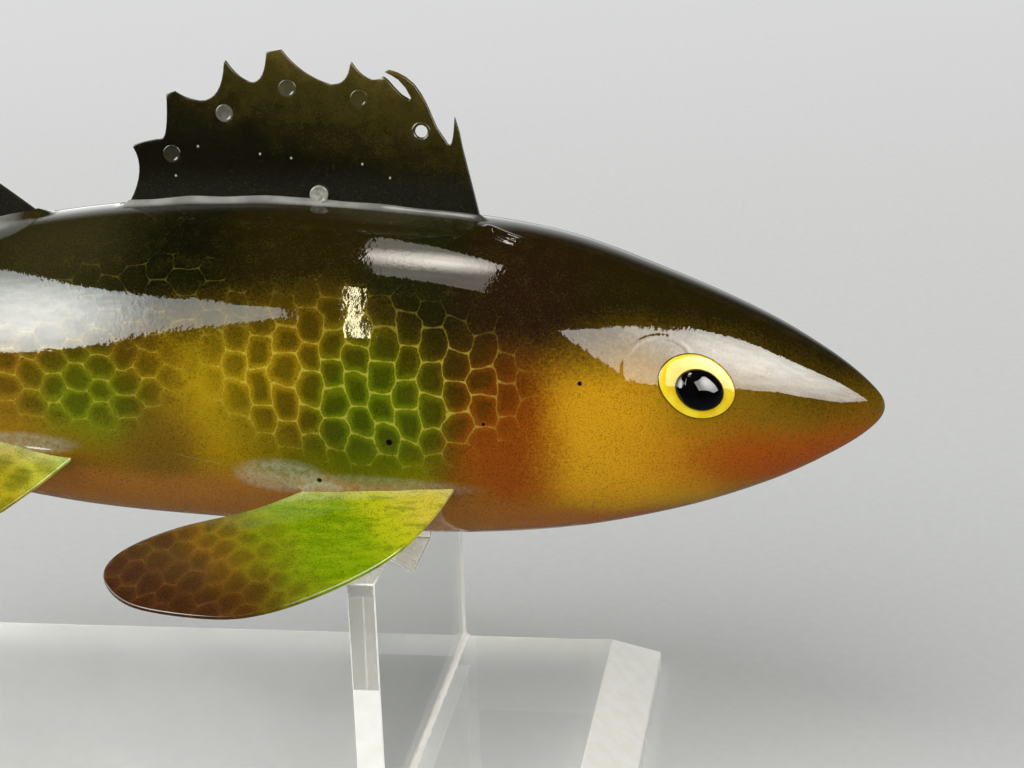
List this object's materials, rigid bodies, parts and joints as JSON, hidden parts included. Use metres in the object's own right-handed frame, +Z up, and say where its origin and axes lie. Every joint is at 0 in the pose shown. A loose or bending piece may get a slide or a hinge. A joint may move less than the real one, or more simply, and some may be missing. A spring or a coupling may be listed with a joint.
{
  "type": "fish decoy",
  "caption": "Carved and painted wooden fish decoy with sheet metal fins and domed eyes, lying on a clear acrylic cradle stand.",
  "frame": {"origin": "on the table, under the middle of the whole object", "axes": "+X towards the fish's nose, +Y towards the fish's left side, +Z up"},
  "size_m": [0.2669, 0.1018, 0.1382],
  "materials": {
    "painted_wood": "airbrushed paint under gloss clear coat",
    "dark_painted_tin": "gloss",
    "green_painted_tin": "gloss",
    "eye_yellow": "gloss",
    "pupil_black": "gloss",
    "clear_acrylic": "clear, polished faces and sawn edges"
  },
  "bodies": {
    "root": {"body": "painted_wood", "dorsal_fin": "dark_painted_tin", "second_dorsal_fin": "dark_painted_tin", "tail_fin": "green_painted_tin", "pectoral_fin_left": "green_painted_tin", "pectoral_fin_right": "green_painted_tin", "pelvic_fin_left": "green_painted_tin", "pelvic_fin_right": "green_painted_tin", "eye_left": "eye_yellow", "eye_right": "eye_yellow", "pupil_left": "pupil_black", "pupil_right": "pupil_black", "stand_base": "clear_acrylic", "stand_upright_head": "clear_acrylic", "stand_upright_tail": "clear_acrylic"}
  },
  "joints": []
}
